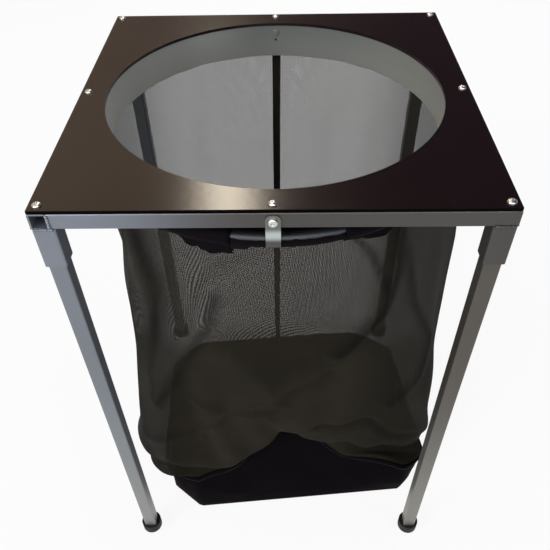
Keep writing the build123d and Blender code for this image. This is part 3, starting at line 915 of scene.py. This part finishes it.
# ---- the metalwork ------------------------------------------------------------------
# lit and shaded tones of the frame's and legs' paint: painted light and shade; the legs also take a painted reflection
# of the floor
frame_lit_and_shaded_tints = (tint(126, 131, 141), tint(73, 70, 67))
frame_paint = silver_paint("frame_paint", *frame_lit_and_shaded_tints, 0.0)
leg_paint = silver_paint("leg_paint", tint(122, 127, 135), tint(84, 79, 72), 0.6)
zinc, rubber = zinc_plate(), black_rubber()
collar_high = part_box("collar_ring")[1]
collar_metal = collar_sheet(collar_high.x - 0.00075)
dull = collar_metal
coats = {"top_plate": plate_gloss(), "collar_ring": collar_metal, "bag_hoop": black_hose(),
         "hoop_joiner": joiner_plastic(), "collar_bolt": dull, "collar_nut": zinc, "collar_spacer": zinc,
         "clip_bolts": zinc, "clip_nuts": zinc}
clip_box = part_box("front_hoop_clip")
strap = zinc_strap(clip_box[0].z, clip_box[1].z)
for side in SIDES:
    coats[side + "_rail"] = frame_paint
    coats[side + "_hoop_clip"] = strap
for corner in CORNERS:
    coats[corner + "_socket"] = frame_paint
    coats[corner + "_leg"] = leg_paint
    coats[corner + "_foot"] = rubber
for node, coat in coats.items():
    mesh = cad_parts[node].data
    for k in range(max(len(mesh.materials), 1)):
        if len(mesh.materials):
            mesh.materials[k] = coat
        else:
            mesh.materials.append(coat)


def kept_piece(piece, slot_name, *nodes):
    """Rides on the stand and stands for its CAD nodes."""
    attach(piece, STAND)
    if nodes:
        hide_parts(*nodes)
    return piece


# plate screws, each turned as it happened to end up
inset = 0.010
reach = plate_high.x - inset
screw_spots = [(a * reach, b * reach, plate_high.z) for a in (-1, 0, 1) for b in (-1, 0, 1) if a or b]
screw = screw_form()
g = Grower("screw_grower", Turn=math.pi, Seed=11)
form = g.add("GeometryNodeObjectInfo", None, {"Object": screw}, out="Geometry")
low = g.add("ShaderNodeMath", {"operation": "MULTIPLY"}, {0: g.given("Turn"), 1: -1.0})
chance = g.add("FunctionNodeRandomValue", {"data_type": "FLOAT"}, {2: low, 3: g.given("Turn"), "Seed": g.given("Seed")}, out=1)
turn = g.add("ShaderNodeCombineXYZ", None, {2: chance})
copies = g.add("GeometryNodeInstanceOnPoints", None, {"Points": g.given("Geometry"), "Instance": form, "Rotation": turn})
g.close(copies, zinc)
screws = grown("plate_screw_set", dots(screw_spots), g)
bpy.data.objects.remove(screw)
kept_piece(screws, "zinc", "plate_screws")

# weld beads, with the ripples that the torch leaves
rail_low, rail_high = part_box("front_rail")
socket_low, socket_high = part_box("front_left_socket")
inner_face = rail_high.y
seams = []
for quarter in range(4):
    spin = Matrix.Rotation(math.pi / 2 * quarter, 3, "Z")
    lines = [((inner_face, rail_low.y, rail_high.z - 0.0028), (inner_face, rail_low.y, rail_low.z + 0.0030)),
             ((socket_low.x + 0.003, rail_low.y, rail_low.z), (socket_high.x - 0.003, rail_low.y, rail_low.z)),
             ((rail_low.y, socket_low.x + 0.003, rail_low.z), (rail_low.y, socket_high.x - 0.003, rail_low.z)),
             ((inner_face, inner_face, rail_low.z + 0.004), (inner_face, inner_face, rail_high.z - 0.004))]
    for a, b in lines:
        a, b = Vector(a), Vector(b)
        steps = 9
        line = []
        for k in range(steps):
            p = a.lerp(b, k / (steps - 1))
            wander = noise.noise_vector(p * 240) * 0.0005
            line.append(spin @ (p + wander))
        seams.append((line, False))
# the weld beads take the frame paint's painted light and shade
bead = row_grower("bead_grower", silver_paint("weld_paint", *frame_lit_and_shaded_tints, 0.0), 0.0015, 0.0026, 0.0046, 0.0036, 0.18)
welds = grown("weld_beads", path(seams), bead)
kept_piece(welds, "weld", "corner_welds")

# ---- the bag ---------------------------------------------------------------------------
bottom, seam, outward, way = tray_lines()
out = np.concatenate([outward, np.zeros((columns, 1))], 1)
tray = tray_cloth(bottom, seam, outward, way)
upper = hoop_line(hoop_radius + 0.0005, hoop_height - hose_radius - 0.0008)
start, cut, cut_length = net_start(upper, seam, out)
net_grid = sagged(start, cut, tray)
way_round = (90 + 360 * np.arange(columns) / columns) % 360
downward = np.linspace(0, 1, net_rows)
net_grid = eased(swollen(eased(net_grid, 2), way_round, downward, cut_length.mean()), 4)
relief, folded = gathers(way_round, downward, cut_length.mean())
net_grid = net_grid + outward_of(net_grid) * (relief * np.sin(math.pi * downward)[:, None] ** 0.5)[..., None]
aside = lambda at: (way_round - at + 180) % 360 - 180
zone = lambda at, wide: np.exp(-((aside(at) / wide) ** 4))[None, :]
rear_low = np.clip((downward[:, None] - 0.45) / 0.5, 0, 1) * zone(90, 50)
fold_ends = np.interp(way_round, [190, 236, 250, 258, 264, 274, 284, 296, 340],
                      [0.33, 0.30, 0.38, 0.49, 0.55, 0.46, 0.37, 0.30, 0.33])
over_fold = (np.clip((fold_ends[None, :] - downward[:, None]) / 0.04, 0, 1) * zone(266, 26)
             * np.clip((downward[:, None] - 0.27) / 0.04, 0, 1))
# painted shade, also kept as denser mesh: in the folds, over the V-shaped fold, on the side walls and low on the rear
shade = 1 - ((1 - folded) * (1 - 0.30 * over_fold) * (1 - 0.50 * zone(178, 36)) * (1 - 0.52 * zone(4, 38)) * (1 - 0.26 * zone(220, 18))
             * (1 - 0.36 * zone(318, 20)) * (1 - 0.24 * rear_low))
slack = np.clip((downward[:, None] - fold_ends[None, :]) / 0.05, 0, 1) * zone(266, 72) * 0.50
net = net_piece(net_grid, cut_length, 1 - (1 - shade) * (1 - slack), shade)

hem_weave = woven("hem_weave", tint(6, 4, 6), tint(13, 10, 13), 0.0009, 0.65)
gap_left, gap_right = 10.8, 18.2
hems = []
for quarter, side in enumerate(("front_right", "rear_right", "rear_left", "front_left")):
    first, last = -90 + 90 * quarter + gap_right, 90 * quarter - gap_left
    droops = {"front_left": [(246, 0.0), (247.5, 0.008), (253, 0.0105), (259, 0.012)],
              "front_right": [(-72, 0.0), (-68, 0.003), (-64, 0.0075), (-60, 0.009), (-56, 0.002)]}.get(side, ())
    hems.append(hem_sleeve("hem_" + side, first, last, 0.0018, 3.0 + 2.2 * quarter, hem_weave, droops))


def open_hem(start, end, material):
    """The part of the hem that lies open under the hose, where the front clip grips it, and stands up behind as a dark
    lip that puts painted shade in the gap under the rail.
    """
    steps = 44
    turn = np.radians(np.linspace(start, end, steps))
    grid = np.zeros((19, steps, 3))
    for i in range(15):
        angle = math.radians(22 - 210 * i / 14)
        for j, a in enumerate(turn):
            reach = hose_radius + 0.0010 + noise.noise(Vector((a * 40, i * 0.3, 5.0))) * 0.0005
            lip = noise.noise(Vector((a * 22, 0, 8.0))) * math.radians(14) if i == 0 else 0.0
            hang = float(np.interp(math.degrees(a), [start, -96.6, -96.2, end], [0.0062, 0.0058, 0.0, 0.0]))
            hang *= max(0.0, -math.sin(angle)) ** 2
            radius = hoop_radius + reach * math.cos(angle + lip)
            grid[i, j] = (radius * math.cos(a), radius * math.sin(a), hoop_height + reach * math.sin(angle + lip) - hang)
    # painted shade: a dark cloth lip stands up behind the hose to darken the gap under the rail
    for i in range(15, 19):
        back = hoop_radius - hose_radius - 0.0012 - 0.0006 * (i - 14)
        for j, a in enumerate(turn):
            top = 0.0028 * (i - 14) + noise.noise(Vector((a * 30, i * 0.4, 2.0))) * 0.0006
            grid[i, j] = (back * math.cos(a), back * math.sin(a), hoop_height + 0.0012 + top)
    tall = np.concatenate([[0], np.cumsum(np.linalg.norm(np.diff(grid, axis=0), axis=2).mean(1))])
    flat = np.stack(np.broadcast_arrays((turn - turn[0])[None, :] * hoop_radius, tall[:, None]), 2)
    return thickened(shown("hem_open", skin("hem_open", grid, around=False, flat=flat), material), 0.0009), tall[-1]


open_piece, open_tall = open_hem(-90 - gap_left, -90 + gap_right, hem_weave)
hems.append(open_piece)

outs = outward_of(net_grid)
below = net_grid[1] - net_grid[0]
below /= np.linalg.norm(below, axis=1)[:, None]
edge = [net_grid[0] + outs[0] * 0.0012 + (0, 0, 0.004), net_grid[0] + outs[0] * 0.0012,
        net_grid[0] + below * 0.002 + outs[0] * 0.0012]
top_binding = ribbon("top_binding", edge, 0.0009, hem_weave)
wall_in = (bottom - seam) / np.linalg.norm(bottom - seam, axis=1)[:, None]
edge = [net_grid[-1] + (net_grid[-2] - net_grid[-1]) * 0.6 + out * 0.0014, net_grid[-1] + out * 0.002,
        net_grid[-1] + wall_in * 0.006 + out * 0.0022]
seam_binding = ribbon("seam_binding", edge, 0.0009, tray.data.materials[0])

tape_lines = []
for side in (-1, 0, 1):
    line = net_grid[:, 0] + outs[:, 0] * 0.0016
    tangent = np.array([1.0, 0, 0]) * side * (0.0068 - 0.0016 * downward[:, None])
    tape_lines.append(line - tangent)
tape = ribbon("seam_tape", tape_lines, 0.0009, hem_weave, around=False)

thread = thread_finish()
sewing = []
for line, closed in ((tape_lines[0] + (-0.0007, 0.0006, 0), False), (tape_lines[2] + (0.0007, 0.0006, 0), False),
                     (net_grid[-1] + wall_in * 0.0035 + out * 0.0029, True),
                     (bottom + out * 0.0004 + (0, 0, 0.0035), True)):
    sewing.append(([tuple(p) for p in line], closed))
needle = row_grower("stitch_grower", thread, 0.0042, 0.0030, 0.0007, 0.0006, 0.12)
stitches = grown("bag_stitches", path(sewing), needle)

kept_piece(net, "mesh_cloth", *[side + "_mesh" for side in SIDES])
kept_piece(tray, "base_cloth", "bag_base")
kept_piece(tape, "hem_tape", "rear_seam_tape")
kept_piece(top_binding, "hem_tape")
kept_piece(seam_binding, "base_cloth")
kept_piece(stitches, "hem_tape")
for k, hem in enumerate(hems):
    kept_piece(hem, "hem_tape", *(["bag_hem"] if k == 0 else []))
net_area = float(cut_length.mean() * round_hoop)
